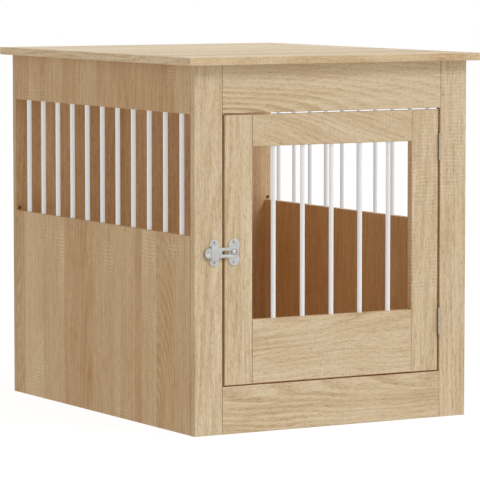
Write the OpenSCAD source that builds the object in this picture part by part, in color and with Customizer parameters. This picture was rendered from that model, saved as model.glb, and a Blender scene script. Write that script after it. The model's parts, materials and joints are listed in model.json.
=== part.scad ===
// Pet crate that doubles as a side table: board body, barred sides and a barred door with a lift latch.
// Millimetres. X runs left to right along the front, Y runs to the back, Z is up.
// The origin is on the floor, under the centre of the tabletop. The front faces -Y.

/* [Overall size] */
// Width of the tabletop
top_w = 645; // [600:1:760]
// Depth of the tabletop
top_d = 800; // [700:1:1000]
// Height from the floor to the top surface
crate_h = 710; // [640:1:820]
// How far the tabletop stands out past the body on every side
top_overhang = 19; // [12:1:30]

/* [Boards] */
// Thickness of the tabletop
top_t = 15; // [13:0.5:25]
// Thickness of the boards of the body and the door
board_t = 15; // [15:0.5:20]
// Chamfer that eases the boards' edges
edge_ease = 0.8; // [0.3:0.1:1.5]

/* [Front frame] */
// Width of the two front stiles
stile_w = 60; // [50:1:80]
// Height of the front header and of the side rails beside it
header_h = 91; // [75:1:120]
// Height of the front bottom rail
bottom_rail_h = 90; // [84:1:120]

/* [Walls and floor] */
// Height of the solid lower side boards
lower_board_h = 376; // [280:1:420]
// Height of the floor panel's underside
floor_z = 60; // [40:1:64]
// Diameter of the two spare holes in the rear panel
spare_hole_d = 8; // [5:0.5:10]
// Depth of the spare holes
spare_hole_depth = 9; // [5:0.5:10]
// Height of the spare holes' centres above the lower side boards
spare_hole_rise = 5; // [5:0.5:20]

/* [Door] */
// Gap between the door and the stile on either side
door_side_gap = 5; // [4:0.5:7]
// Gap above the door
door_top_gap = 3; // [2:0.5:5]
// Gap below the door
door_bottom_gap = 3; // [2:0.5:5]
// Width of the door's stiles
door_stile_w = 60; // [50:1:75]
// Height of the door's top rail
door_top_rail_h = 60; // [50:1:80]
// Height of the door's bottom rail
door_bottom_rail_h = 121; // [100:1:150]

/* [Bars] */
// Diameter of the steel bars
bar_d = 9; // [6:0.5:10]
// Number of bars in each side window
side_bars = 11; // [7:1:11]
// Number of bars in the door
door_bars = 5; // [3:1:5]
// From the end of a side window to the centre of its last bar
side_bar_end_gap = 46; // [30:1:60]
// From the side of the door window to the centre of its last bar
door_bar_end_gap = 50; // [35:1:60]
// Depth of the blind holes that hold the bars
bar_socket_depth = 10; // [6:0.5:15]
// Gap between a bar and the wall of its hole
bar_socket_gap = 0.1; // [0.05:0.05:0.3]
// Gap over a bar's top end
bar_end_play = 1; // [0.5:0.1:2]

/* [Hinges] */
// Height of a hinge
hinge_h = 52; // [45:1:64]
// Width of a hinge leaf along the board's edge
leaf_w = 13.5; // [10:0.5:14]
// Thickness of a hinge leaf
leaf_t = 1.1; // [0.8:0.1:1.3]
// Diameter of a hinge pin
hinge_pin_d = 3; // [2.5:0.1:3.5]
// Knuckles along one hinge
knuckles = 4; // [4:2:6]
// Gap between two knuckles
knuckle_gap = 0.3; // [0.2:0.05:0.6]
// Screws in one leaf
leaf_screws = 3; // [2:1:3]
// From the end of a leaf to the centre of its outer screw
leaf_screw_inset = 7; // [6:0.5:10]
// From the door's top edge to the middle of the upper hinge
upper_hinge_inset = 72.5; // [60:0.5:120]
// From the door's bottom edge to the middle of the lower hinge
lower_hinge_inset = 96; // [60:0.5:140]

/* [Latch] */
// Height of the latch above the floor
latch_z = 344; // [280:1:400]
// Distance from the latch arm's pivot to the keeper's stud
latch_reach = 41.4; // [39:0.1:46]
// Thickness of the keeper and of the door plate
plate_t = 1.5; // [1.2:0.1:2]
// Height of the keeper and of the door plate
plate_h = 51; // [48:0.5:60]
// Width of the keeper
keeper_w = 19; // [17:0.5:22]
// Width across the round lobes of the door plate
door_plate_w = 23.6; // [21:0.2:26]
// Width of the door plate between its lobes
door_plate_waist_w = 19.2; // [17:0.2:20.5]
// From the door plate's straight edge to the pivot
door_plate_edge = 10.2; // [9.6:0.1:12]
// From the end of a plate to its screw
plate_screw_inset = 6.5; // [5.5:0.5:7]
// Gap between the plates and the arm that swings over them
arm_lift = 0.4; // [0.3:0.05:0.8]
// Thickness of the arm
arm_t = 3; // [2.5:0.1:4]
// Height of the arm's straight part
arm_h = 19; // [16:0.5:22]
// Width of the arm's head
head_w = 16.2; // [15:0.2:18]
// Height of the arm's head
head_h = 26.4; // [24:0.2:30]
// Thickness of the arm's head
head_t = 4.3; // [4:0.1:5]
// Corner radius of the arm's head
head_corner_r = 3; // [1:0.5:4]
// Diameter of the round thumb piece
thumb_d = 19.2; // [17:0.2:21]
// From the middle of the head to the middle of the thumb piece
thumb_offset = 12.1; // [11:0.1:14]
// Thickness of the thumb piece
thumb_t = 3.5; // [3.2:0.1:3.9]
// Diameter of the dimple in the thumb piece
dimple_d = 10.4; // [8:0.2:12]
// Depth of the dimple
dimple_depth = 1.2; // [0.6:0.1:1.6]
// From the middle of the thumb piece to the middle of the dimple
dimple_offset = 2.7; // [1.5:0.1:3]
// Height of the slot through the arm
slot_h = 7.3; // [5:0.1:8]
// From the pivot to the round end of the slot
slot_end = 26.5; // [22:0.5:28]
// Diameter of the keeper's stud
stud_d = 6; // [5:0.1:6.5]
// How far the stud stands up from the keeper
stud_l = 2.7; // [2:0.1:2.8]
// Gap between the stud and the arm's mouth
mouth_gap = 0.8; // [0.5:0.1:0.9]
// Diameter of the rivet that the arm turns on
rivet_d = 6; // [5:0.1:6.5]
// Diameter of the rivet's domed head
rivet_head_d = 10; // [9:0.1:11]
// Height of the rivet's domed head
rivet_head_h = 2.4; // [1.8:0.1:3]
// Gap under the rivet's head
rivet_head_gap = 0.3; // [0.2:0.05:0.4]
// Diameter of the recess round the rivet's head
recess_d = 13.6; // [12:0.2:15]
// Depth of the recess
recess_depth = 1.6; // [1:0.1:2]
// Gap between a hinge pin or the rivet and what turns on it
running_gap = 0.05; // [0.02:0.01:0.1]

/* [Fittings] */
// Gap between a fitting and the wall of its hole
fit_gap = 0.05; // [0.03:0.01:0.15]
// Diameter of a dowel
dowel_d = 8; // [6:1:8]
// Length of a dowel
dowel_l = 30; // [20:1:35]
// How far a dowel reaches into the board that its end is set in
dowel_seat = 10; // [8:0.5:11]
// Diameter of a cam nut
cam_d = 15; // [12:1:15]
// Depth of a cam nut
cam_h = 12; // [11:0.5:12.5]
// From the end of a board to the centre of its cam nut
cam_setback = 34; // [30:1:38]
// Diameter of a cam bolt's thread
bolt_d = 6; // [5:0.5:6]
// Length of a cam bolt's thread
bolt_thread_l = 10; // [8:0.5:11]
// Diameter of a cam bolt's neck
bolt_neck_d = 4; // [3:0.5:4.5]
// Diameter of a cam bolt's head
bolt_head_d = 6.6; // [5.5:0.1:6.8]
// Length of a cam bolt's head
bolt_head_l = 3; // [2:0.5:4]
// Diameter of the bolt's way through a board and a cam nut
bolt_way_d = 7.4; // [7:0.1:8]
// Diameter of a small screw's shank
screw_d = 3; // [2.5:0.1:3.2]
// Diameter of a small screw's head
screw_head_d = 6; // [5:0.1:6.5]
// Height of a small screw's head
screw_head_h = 1.4; // [1:0.1:1.6]
// Length of a small screw
screw_l = 13; // [10:0.5:13.5]
// Diameter of a panel screw's shank
panel_screw_d = 5; // [4:0.5:6]
// Diameter of a panel screw's head
panel_screw_head_d = 9.5; // [8.5:0.5:11]
// Height of a panel screw's head
panel_screw_head_h = 3; // [2:0.5:4]
// Length of a panel screw
panel_screw_l = 45; // [35:1:50]
// Width of the cross in a screw's head, as a share of the head's diameter
cross_share = 0.13; // [0.1:0.01:0.2]

/* [Hidden] */
$fn = 64;
over = 1;
dowel_end_gap = 0.5;
wood = [0.80, 0.71, 0.58];
steel_white = [0.93, 0.92, 0.90];
zinc = [0.76, 0.76, 0.75];
nickel = [0.66, 0.66, 0.67];
beech = [0.83, 0.72, 0.55];

// Planes of the body
body_w = top_w - 2 * top_overhang;
body_d = top_d - 2 * top_overhang;
body_h = crate_h - top_t;
side_x = body_w / 2;
inner_x = side_x - board_t;
side_mid_x = side_x - board_t / 2;
front_y = -body_d / 2;
front_mid_y = front_y + board_t / 2;
frame_back_y = front_y + board_t;
rear_y = body_d / 2;
panel_front_y = rear_y - board_t;
wall_l = panel_front_y - frame_back_y;
header_z = body_h - header_h;
header_mid_z = header_z + header_h / 2;
opening_half = side_x - stile_w;
floor_mid_z = floor_z + board_t / 2;

// Planes of the door
door_half = opening_half - door_side_gap;
door_z0 = bottom_rail_h + door_bottom_gap;
door_z1 = header_z - door_top_gap;
door_window_half = door_half - door_stile_w;
door_window_z0 = door_z0 + door_bottom_rail_h;
door_window_z1 = door_z1 - door_top_rail_h;

// Hinge axis, which stands one knuckle radius in front of the door
knuckle_r = hinge_pin_d / 2 + running_gap + leaf_t;
hinge_x = opening_half - door_side_gap / 2;
hinge_y = front_y - knuckle_r;
upper_hinge_z = door_z1 - upper_hinge_inset;
lower_hinge_z = door_z0 + lower_hinge_inset;
knuckle_pitch = hinge_h / knuckles;
leaf_screw_pitch = (hinge_h - 2 * leaf_screw_inset) / (leaf_screws - 1);

// Latch, centred over the gap between the door and the stile
pivot_x = -hinge_x + latch_reach / 2;
stud_x = pivot_x - latch_reach;
arm_base = plate_t + arm_lift;
plate_screw_z = plate_h / 2 - plate_screw_inset;
lobe_r = door_plate_w / 2;
mouth_half = stud_d / 2 + mouth_gap;
recess_floor = arm_base + arm_t - recess_depth;
rivet_head_base = recess_floor + rivet_head_gap;

// Joints of the body. Each has its place on the plane where two boards meet and a turn.
// Its own +X then points into the board with the cam nut, and its own +Z out of that board's drilled face.
to_left = [90, 0, 180];
to_back = [-90, 0, 90];
down_from_side = [180, 90, 0];
down_from_front = [0, 90, 90];
down_from_rear = [0, 90, -90];
floor_to_left = [0, 180, 0];
frame_heights = [header_mid_z, bottom_rail_h / 2];
front_frame_cams = [for (z = frame_heights) [[opening_half, front_mid_y, z], to_left]];
upper_end_cams = [[[side_mid_x, frame_back_y, header_mid_z], to_back]];
lower_end_cams = [for (k = [1, 3]) [[side_mid_x, frame_back_y, lower_board_h * k / 4], to_back]];
top_rail_cams = [for (s = [-1, 1]) [[side_mid_x, s * wall_l / 3, body_h], down_from_side]];
top_header_cams = [[[opening_half / 2, front_mid_y, body_h], down_from_front]];
top_rear_cams = [[[opening_half / 2, rear_y - board_t / 2, body_h], down_from_rear]];
floor_cams = [for (s = [-1, 1]) [[inner_x, s * wall_l / 4, floor_mid_z], floor_to_left]];
body_cams = concat(front_frame_cams, upper_end_cams, lower_end_cams, top_rail_cams,
                   top_header_cams, top_rear_cams, floor_cams);

front_frame_dowels = [
    for (z = frame_heights) for (s = [-1, 1])
    [[opening_half, front_mid_y, z + s * bottom_rail_h / 3], to_left]
];
upper_end_dowels = [
    for (s = [-1, 1]) [[side_mid_x, frame_back_y, header_mid_z + s * header_h / 3], to_back]
];
lower_end_dowels = [
    for (k = [1, 4, 7]) [[side_mid_x, frame_back_y, lower_board_h * k / 8], to_back]
];
floor_dowels = [for (y = [-wall_l / 3, 0, wall_l / 3]) [[inner_x, y, floor_mid_z], floor_to_left]];
body_dowels = concat(front_frame_dowels, upper_end_dowels, lower_end_dowels, floor_dowels);

door_top_dowels = [
    for (s = [-1, 1])
    [[door_window_half, front_mid_y, door_z1 - door_top_rail_h / 2 + s * door_top_rail_h / 4], to_left]
];
door_bottom_dowels = [
    for (s = [-1, 0, 1])
    [[door_window_half, front_mid_y, door_z0 + door_bottom_rail_h / 2 + s * door_bottom_rail_h / 3], to_left]
];
door_dowel_spots = concat(door_top_dowels, door_bottom_dowels);

// Panel screws, driven in from behind
wall_screw_spots = [
    for (z = [header_mid_z - header_h / 4, header_mid_z + header_h / 4,
              lower_board_h / 6, lower_board_h / 2, lower_board_h * 5 / 6])
    [side_mid_x, rear_y, z]
];
floor_screw_spots = [for (s = [-1, 0, 1]) [s * inner_x * 2 / 3, rear_y, floor_mid_z]];

// Bars
side_bar_pitch = (wall_l - 2 * side_bar_end_gap) / (side_bars - 1);
door_bar_pitch = (2 * door_window_half - 2 * door_bar_end_gap) / (door_bars - 1);
function side_bar_y(i) = frame_back_y + side_bar_end_gap + (i - 1) * side_bar_pitch;
function door_bar_x(i) = -door_window_half + door_bar_end_gap + (i - 1) * door_bar_pitch;

// Shared shapes

module eased_rectangle(a, b) {
    e = edge_ease;
    polygon([[e, 0], [a - e, 0], [a, e], [a, b - e], [a - e, b], [e, b], [0, b - e], [0, e]]);
}

module board_along_x(low, size) {
    translate(low) rotate([90, 0, 90]) linear_extrude(size[0]) eased_rectangle(size[1], size[2]);
}

module board_along_y(low, size) {
    translate(low) rotate([0, -90, -90]) linear_extrude(size[1]) eased_rectangle(size[2], size[0]);
}

module board_along_z(low, size) {
    translate(low) linear_extrude(size[2]) eased_rectangle(size[0], size[1]);
}

module both_sides() {
    children();
    mirror([1, 0, 0]) children();
}

module at_joints(joints) {
    for (j = joints) translate(j[0]) rotate(j[1]) children();
}

module on_front(x, z, height) {
    translate([x, front_y - height, z]) rotate([90, 0, 0]) children();
}

// Fittings, each drawn in its joint's own frame

module dowel() {
    translate([-dowel_seat, 0, 0]) rotate([0, 90, 0]) cylinder(d = dowel_d, h = dowel_l);
}

module dowel_hole() {
    translate([-dowel_seat - dowel_end_gap, 0, 0]) rotate([0, 90, 0])
        cylinder(d = dowel_d + 2 * fit_gap, h = dowel_l + 2 * dowel_end_gap);
}

module bolt_way() {
    rotate([0, 90, 0]) cylinder(d = bolt_way_d, h = cam_setback + bolt_head_l);
}

module cam_nut() {
    cross_l = cam_d * 0.6;
    cross_w = cam_d * cross_share;
    difference() {
        translate([cam_setback, 0, board_t / 2 - cam_h]) cylinder(d = cam_d, h = cam_h);
        bolt_way();
        for (a = [0, 90])
            translate([cam_setback, 0, board_t / 2]) rotate(a)
                cube([cross_l, cross_w, 2 * cross_w], center = true);
    }
}

module cam_hole() {
    translate([cam_setback, 0, board_t / 2 - cam_h])
        cylinder(d = cam_d + 2 * fit_gap, h = cam_h + over);
    bolt_way();
}

module cam_bolt() {
    neck_l = cam_setback - bolt_head_l / 2;
    translate([-bolt_thread_l, 0, 0]) rotate([0, 90, 0]) cylinder(d = bolt_d, h = bolt_thread_l);
    rotate([0, 90, 0]) cylinder(d = bolt_neck_d, h = neck_l);
    translate([neck_l, 0, 0]) rotate([0, 90, 0]) cylinder(d = bolt_head_d, h = bolt_head_l);
}

module bolt_hole() {
    translate([-bolt_thread_l - over / 2, 0, 0]) rotate([0, 90, 0])
        cylinder(d = bolt_d + 2 * fit_gap, h = bolt_thread_l + over / 2);
}

// A countersunk screw with its head's face at Z = 0 and its shank pointing down
module countersunk_screw(d, head_d, head_h, length) {
    cross_w = head_d * cross_share;
    difference() {
        union() {
            translate([0, 0, -length]) cylinder(d = d, h = length - head_h);
            translate([0, 0, -head_h]) cylinder(d1 = d, d2 = head_d, h = head_h);
        }
        for (a = [0, 90]) rotate(a) cube([head_d * 0.55, cross_w, head_h], center = true);
    }
}

module countersunk_hole(d, head_d, head_h, length) {
    grown_d = d + 2 * fit_gap;
    grown_head_d = head_d + 2 * fit_gap;
    translate([0, 0, -length - over / 2]) cylinder(d = grown_d, h = length);
    translate([0, 0, -head_h]) cylinder(d1 = grown_d, d2 = grown_head_d, h = head_h);
    cylinder(d = grown_head_d, h = over);
}

module small_screw() {
    countersunk_screw(screw_d, screw_head_d, screw_head_h, screw_l);
}

module small_screw_hole() {
    countersunk_hole(screw_d, screw_head_d, screw_head_h, screw_l);
}

module at_panel_screws(spots) {
    for (p = spots) translate(p) rotate([-90, 0, 0]) children();
}

module panel_screw() {
    countersunk_screw(panel_screw_d, panel_screw_head_d, panel_screw_head_h, panel_screw_l);
}

module panel_screw_hole() {
    countersunk_hole(panel_screw_d, panel_screw_head_d, panel_screw_head_h, panel_screw_l);
}

// Places of the small screws

module at_leaf_screws(face_x, turn) {
    for (z = [upper_hinge_z, lower_hinge_z]) for (k = [0:leaf_screws - 1])
        translate([face_x, front_mid_y, z - hinge_h / 2 + leaf_screw_inset + k * leaf_screw_pitch])
            rotate([0, turn, 0]) children();
}

module at_frame_leaf_screws() {
    at_leaf_screws(opening_half - leaf_t, -90) children();
}

module at_door_leaf_screws() {
    at_leaf_screws(door_half + leaf_t, 90) children();
}

module at_keeper_screws() {
    for (s = [-1, 1]) on_front(stud_x, latch_z + s * plate_screw_z, plate_t) children();
}

module at_door_plate_screws() {
    for (s = [-1, 1]) on_front(pivot_x, latch_z + s * plate_screw_z, plate_t) children();
}

// Bar sockets

module bar_socket(x, y, mouth_z, up) {
    depth = bar_socket_depth + over;
    translate([x, y, up > 0 ? mouth_z - over : mouth_z - bar_socket_depth])
        cylinder(d = bar_d + 2 * bar_socket_gap, h = depth);
}

module side_bar_sockets(mouth_z, up) {
    for (i = [1:side_bars]) bar_socket(side_mid_x, side_bar_y(i), mouth_z, up);
}

module door_bar_sockets(mouth_z, up) {
    for (i = [1:door_bars]) bar_socket(door_bar_x(i), front_mid_y, mouth_z, up);
}

// A bar stands on the bottom of its lower socket
module bar(x, y, z0, z1) {
    length = z1 - z0 + 2 * bar_socket_depth - bar_end_play;
    color(steel_white) translate([x, y, z0 - bar_socket_depth]) cylinder(d = bar_d, h = length);
}

// Body

module tabletop() {
    low = [-top_w / 2, -top_d / 2, body_h];
    size = [top_w, top_d, top_t];
    color(wood) difference() {
        intersection() {
            board_along_x(low, size);
            board_along_y(low, size);
        }
        both_sides() at_joints(concat(top_rail_cams, top_header_cams, top_rear_cams)) bolt_hole();
    }
}

module right_stile() {
    color(wood) difference() {
        board_along_z([opening_half, front_y, 0], [stile_w, board_t, body_h]);
        at_joints(concat(front_frame_cams, upper_end_cams, lower_end_cams)) bolt_hole();
        at_joints(concat(front_frame_dowels, upper_end_dowels, lower_end_dowels)) dowel_hole();
        children();
    }
}

module front_left_stile() {
    mirror([1, 0, 0]) right_stile() mirror([1, 0, 0]) at_keeper_screws() small_screw_hole();
}

module front_right_stile() {
    right_stile() at_frame_leaf_screws() small_screw_hole();
}

module front_header() {
    color(wood) difference() {
        board_along_x([-opening_half, front_y, header_z], [2 * opening_half, board_t, header_h]);
        both_sides() at_joints(concat(front_frame_cams, top_header_cams)) cam_hole();
        both_sides() at_joints(front_frame_dowels) dowel_hole();
    }
}

module front_bottom_rail() {
    color(wood) difference() {
        board_along_x([-opening_half, front_y, 0], [2 * opening_half, board_t, bottom_rail_h]);
        both_sides() at_joints(front_frame_cams) cam_hole();
        both_sides() at_joints(front_frame_dowels) dowel_hole();
    }
}

module right_upper_rail() {
    color(wood) difference() {
        board_along_y([inner_x, frame_back_y, header_z], [board_t, wall_l, header_h]);
        at_joints(concat(upper_end_cams, top_rail_cams)) cam_hole();
        at_joints(upper_end_dowels) dowel_hole();
        at_panel_screws(wall_screw_spots) panel_screw_hole();
        side_bar_sockets(header_z, 1);
    }
}

module right_lower_board() {
    color(wood) difference() {
        board_along_y([inner_x, frame_back_y, 0], [board_t, wall_l, lower_board_h]);
        at_joints(lower_end_cams) cam_hole();
        at_joints(concat(lower_end_dowels, floor_dowels)) dowel_hole();
        at_joints(floor_cams) bolt_hole();
        at_panel_screws(wall_screw_spots) panel_screw_hole();
        side_bar_sockets(lower_board_h, -1);
    }
}

module left_upper_rail() {
    mirror([1, 0, 0]) right_upper_rail();
}

module left_lower_board() {
    mirror([1, 0, 0]) right_lower_board();
}

module rear_panel() {
    color(wood) difference() {
        board_along_z([-side_x, panel_front_y, 0], [body_w, board_t, body_h]);
        both_sides() at_joints(top_rear_cams) cam_hole();
        both_sides() at_panel_screws(wall_screw_spots) panel_screw_hole();
        at_panel_screws(floor_screw_spots) panel_screw_hole();
        both_sides() translate([side_mid_x, panel_front_y - over, lower_board_h + spare_hole_rise])
            rotate([-90, 0, 0]) cylinder(d = spare_hole_d, h = spare_hole_depth + over);
    }
}

module floor_panel() {
    color(wood) difference() {
        translate([-inner_x, frame_back_y, floor_z]) cube([2 * inner_x, wall_l, board_t]);
        both_sides() at_joints(floor_cams) cam_hole();
        both_sides() at_joints(floor_dowels) dowel_hole();
        at_panel_screws(floor_screw_spots) panel_screw_hole();
    }
}

// Door

module door_stile_blank() {
    difference() {
        board_along_z([door_window_half, front_y, door_z0], [door_stile_w, board_t, door_z1 - door_z0]);
        at_joints(door_dowel_spots) dowel_hole();
    }
}

module door_hinge_stile() {
    color(wood) difference() {
        door_stile_blank();
        at_door_leaf_screws() small_screw_hole();
    }
}

module door_latch_stile() {
    color(wood) difference() {
        mirror([1, 0, 0]) door_stile_blank();
        at_door_plate_screws() small_screw_hole();
    }
}

module door_top_rail() {
    color(wood) difference() {
        board_along_x([-door_window_half, front_y, door_window_z1],
                      [2 * door_window_half, board_t, door_top_rail_h]);
        both_sides() at_joints(door_top_dowels) dowel_hole();
        door_bar_sockets(door_window_z1, 1);
    }
}

module door_bottom_rail() {
    color(wood) difference() {
        board_along_x([-door_window_half, front_y, door_z0],
                      [2 * door_window_half, board_t, door_bottom_rail_h]);
        both_sides() at_joints(door_bottom_dowels) dowel_hole();
        door_bar_sockets(door_window_z0, -1);
    }
}

// Bars

module left_bar(i) {
    bar(-side_mid_x, side_bar_y(i), lower_board_h, header_z);
}

module right_bar(i) {
    bar(side_mid_x, side_bar_y(i), lower_board_h, header_z);
}

module door_bar(i) {
    bar(door_bar_x(i), front_mid_y, door_window_z0, door_window_z1);
}

// Hinges. The door's leaf has the top knuckle and every second one below it.

module knuckle_row(first, z) {
    for (k = [first:2:knuckles - 1])
        translate([hinge_x, hinge_y, z + hinge_h / 2 - (k + 1) * knuckle_pitch + knuckle_gap / 2])
            children();
}

module leaf(face_x, first, z) {
    knuckle_l = knuckle_pitch - knuckle_gap;
    other = 1 - first;
    clear_r = knuckle_r + 2 * knuckle_gap;
    difference() {
        union() {
            translate([face_x, hinge_y, z - hinge_h / 2])
                cube([leaf_t, front_y + leaf_w - hinge_y, hinge_h]);
            knuckle_row(first, z) cylinder(r = knuckle_r, h = knuckle_l);
        }
        translate([hinge_x, hinge_y, z - hinge_h / 2 - over])
            cylinder(d = hinge_pin_d + 2 * running_gap, h = hinge_h + 2 * over);
        knuckle_row(other, z) translate([-clear_r, -clear_r, -knuckle_gap])
            cube([2 * clear_r, 2 * clear_r, knuckle_l + 2 * knuckle_gap]);
    }
}

module frame_leaf(z) {
    color(nickel) difference() {
        leaf(opening_half - leaf_t, 1, z);
        at_frame_leaf_screws() small_screw_hole();
    }
}

module door_leaf(z) {
    color(nickel) difference() {
        leaf(door_half, 0, z);
        at_door_leaf_screws() small_screw_hole();
    }
}

module hinge_pin(z) {
    pin_l = hinge_h - 2 * knuckle_gap;
    color(zinc) translate([hinge_x, hinge_y, z - pin_l / 2]) cylinder(d = hinge_pin_d, h = pin_l);
}

// Latch

module keeper_outline() {
    end_z = plate_h / 2 - keeper_w / 2;
    for (s = [-1, 1]) translate([0, s * end_z]) circle(d = keeper_w);
    square([keeper_w, 2 * end_z], center = true);
}

module latch_keeper() {
    color(zinc) difference() {
        union() {
            on_front(stud_x, latch_z, 0) linear_extrude(plate_t) keeper_outline();
            on_front(stud_x, latch_z, plate_t / 2) cylinder(d = stud_d, h = plate_t / 2 + stud_l);
        }
        at_keeper_screws() small_screw_hole();
    }
}

module door_plate_outline() {
    lobe_z = plate_h / 2 - lobe_r;
    for (s = [-1, 1]) translate([lobe_r - door_plate_edge, s * lobe_z]) circle(r = lobe_r);
    translate([-door_plate_edge, -lobe_z]) square([door_plate_waist_w, 2 * lobe_z]);
}

module latch_door_plate() {
    color(zinc) difference() {
        on_front(pivot_x, latch_z, 0) linear_extrude(plate_t) door_plate_outline();
        on_front(pivot_x, latch_z, -over) cylinder(d = rivet_d + 2 * fit_gap, h = plate_t + 2 * over);
        at_door_plate_screws() small_screw_hole();
    }
}

module head_outline() {
    r = head_corner_r;
    for (x = [-1, 1]) for (z = [-1, 1])
        translate([x * (head_w / 2 - r), z * (head_h / 2 - r)]) circle(r = r);
    square([head_w - 2 * r, head_h], center = true);
    square([head_w, head_h - 2 * r], center = true);
}

// The mouth is open at the bottom. Its near wall stands back, because the stud drifts as the arm is lifted.
module mouth_outline() {
    drift = latch_reach - sqrt(pow(latch_reach, 2) - pow(head_h / 2, 2));
    translate([-latch_reach - mouth_half, -head_h]) square([2 * mouth_half + drift, head_h + mouth_half]);
}

module slot_outline() {
    round_x = slot_h / 2 - slot_end;
    straight_l = -round_x - rivet_head_d / 2 - rivet_head_gap;
    translate([round_x, 0]) circle(d = slot_h);
    translate([round_x, -slot_h / 2]) square([straight_l, slot_h]);
}

module latch_arm() {
    dimple_r = (pow(dimple_d / 2, 2) + pow(dimple_depth, 2)) / (2 * dimple_depth);
    mouth_depth = arm_lift + stud_l;
    color(zinc) on_front(pivot_x, latch_z, arm_base) difference() {
        union() {
            linear_extrude(arm_t) {
                circle(d = arm_h);
                translate([-latch_reach, -arm_h / 2]) square([latch_reach, arm_h]);
            }
            translate([-latch_reach, 0, 0]) linear_extrude(head_t) head_outline();
            translate([-latch_reach - thumb_offset, 0, 0]) cylinder(d = thumb_d, h = thumb_t);
        }
        translate([0, 0, -over]) cylinder(d = rivet_d + 2 * running_gap, h = arm_t + 2 * over);
        translate([0, 0, arm_t - recess_depth]) cylinder(d = recess_d, h = recess_depth + over);
        translate([0, 0, -over]) linear_extrude(arm_t + 2 * over) slot_outline();
        translate([0, 0, -over]) linear_extrude(mouth_depth + over) mouth_outline();
        translate([-latch_reach - thumb_offset - dimple_offset, 0, thumb_t - dimple_depth + dimple_r])
            sphere(r = dimple_r);
    }
}

module latch_rivet() {
    dome_r = (pow(rivet_head_d / 2, 2) + pow(rivet_head_h, 2)) / (2 * rivet_head_h);
    color(zinc) on_front(pivot_x, latch_z, 0) {
        cylinder(d = rivet_d, h = rivet_head_base + rivet_head_h / 2);
        translate([0, 0, rivet_head_base]) intersection() {
            cylinder(d = rivet_head_d, h = rivet_head_h);
            translate([0, 0, rivet_head_h - dome_r]) sphere(r = dome_r);
        }
    }
}

// Groups of fittings

module frame_hardware_screws() {
    color(nickel) {
        at_frame_leaf_screws() small_screw();
        at_keeper_screws() small_screw();
    }
}

module door_hardware_screws() {
    color(nickel) {
        at_door_leaf_screws() small_screw();
        at_door_plate_screws() small_screw();
    }
}

module panel_screws() {
    color(nickel) {
        both_sides() at_panel_screws(wall_screw_spots) panel_screw();
        at_panel_screws(floor_screw_spots) panel_screw();
    }
}

module cam_nuts() {
    color(zinc) both_sides() at_joints(body_cams) cam_nut();
}

module cam_bolts() {
    color(nickel) both_sides() at_joints(body_cams) cam_bolt();
}

module body_dowels() {
    color(beech) both_sides() at_joints(body_dowels) dowel();
}

module door_dowels() {
    color(beech) both_sides() at_joints(door_dowel_spots) dowel();
}

tabletop();
front_left_stile();
front_right_stile();
front_header();
front_bottom_rail();
left_upper_rail();
right_upper_rail();
left_lower_board();
right_lower_board();
rear_panel();
floor_panel();
door_latch_stile();
door_hinge_stile();
door_top_rail();
door_bottom_rail();
for (i = [1:side_bars]) left_bar(i);
for (i = [1:side_bars]) right_bar(i);
for (i = [1:door_bars]) door_bar(i);
frame_leaf(upper_hinge_z);  // upper_hinge_frame_leaf
door_leaf(upper_hinge_z);  // upper_hinge_door_leaf
hinge_pin(upper_hinge_z);  // upper_hinge_pin
frame_leaf(lower_hinge_z);  // lower_hinge_frame_leaf
door_leaf(lower_hinge_z);  // lower_hinge_door_leaf
hinge_pin(lower_hinge_z);  // lower_hinge_pin
latch_keeper();
latch_door_plate();
latch_arm();
latch_rivet();
frame_hardware_screws();
door_hardware_screws();
panel_screws();
cam_nuts();
cam_bolts();
body_dowels();
door_dowels();
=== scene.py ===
"""Looks of a pet crate that doubles as a side table: oak foil boards, white bars, metal latch and hinges.

Metres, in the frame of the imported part: X to the right along the front, Y to the back, Z up.
"""

import sys

import json
import logging
import math
import random
from dataclasses import dataclass
from enum import Enum
from typing import Any

import bmesh
import bpy
from mathutils import Matrix, Vector

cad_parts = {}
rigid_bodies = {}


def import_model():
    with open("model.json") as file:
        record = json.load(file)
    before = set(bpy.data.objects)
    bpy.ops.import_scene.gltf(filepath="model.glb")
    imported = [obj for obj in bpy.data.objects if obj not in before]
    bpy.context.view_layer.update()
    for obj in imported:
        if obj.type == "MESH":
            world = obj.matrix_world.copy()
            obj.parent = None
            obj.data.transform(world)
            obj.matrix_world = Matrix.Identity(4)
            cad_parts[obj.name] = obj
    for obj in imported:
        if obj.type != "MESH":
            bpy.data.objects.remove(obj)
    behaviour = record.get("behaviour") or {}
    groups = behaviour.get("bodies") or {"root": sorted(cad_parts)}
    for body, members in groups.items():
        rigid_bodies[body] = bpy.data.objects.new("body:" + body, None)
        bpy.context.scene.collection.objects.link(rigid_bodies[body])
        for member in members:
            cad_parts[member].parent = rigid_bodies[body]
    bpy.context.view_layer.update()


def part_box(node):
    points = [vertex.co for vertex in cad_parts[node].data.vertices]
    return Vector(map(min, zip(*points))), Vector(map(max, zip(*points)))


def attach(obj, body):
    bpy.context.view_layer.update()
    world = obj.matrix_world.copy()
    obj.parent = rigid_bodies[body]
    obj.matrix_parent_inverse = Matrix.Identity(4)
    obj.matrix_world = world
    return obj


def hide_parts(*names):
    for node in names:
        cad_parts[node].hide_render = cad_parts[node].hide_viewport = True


LOG = logging.getLogger("crate")
MM = 0.001
EDGE_EASE = 0.8 * MM
ONE_SPOT = 0.0002 * MM
MERGE = 0.002 * MM
TOUCH = 0.01 * MM
FLAT_WITHIN = math.radians(1.0)
SMOOTH_BELOW = math.radians(32.0)
BEVEL_ABOVE = math.radians(38.0)
WHITE = "#FFFFFF"


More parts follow.
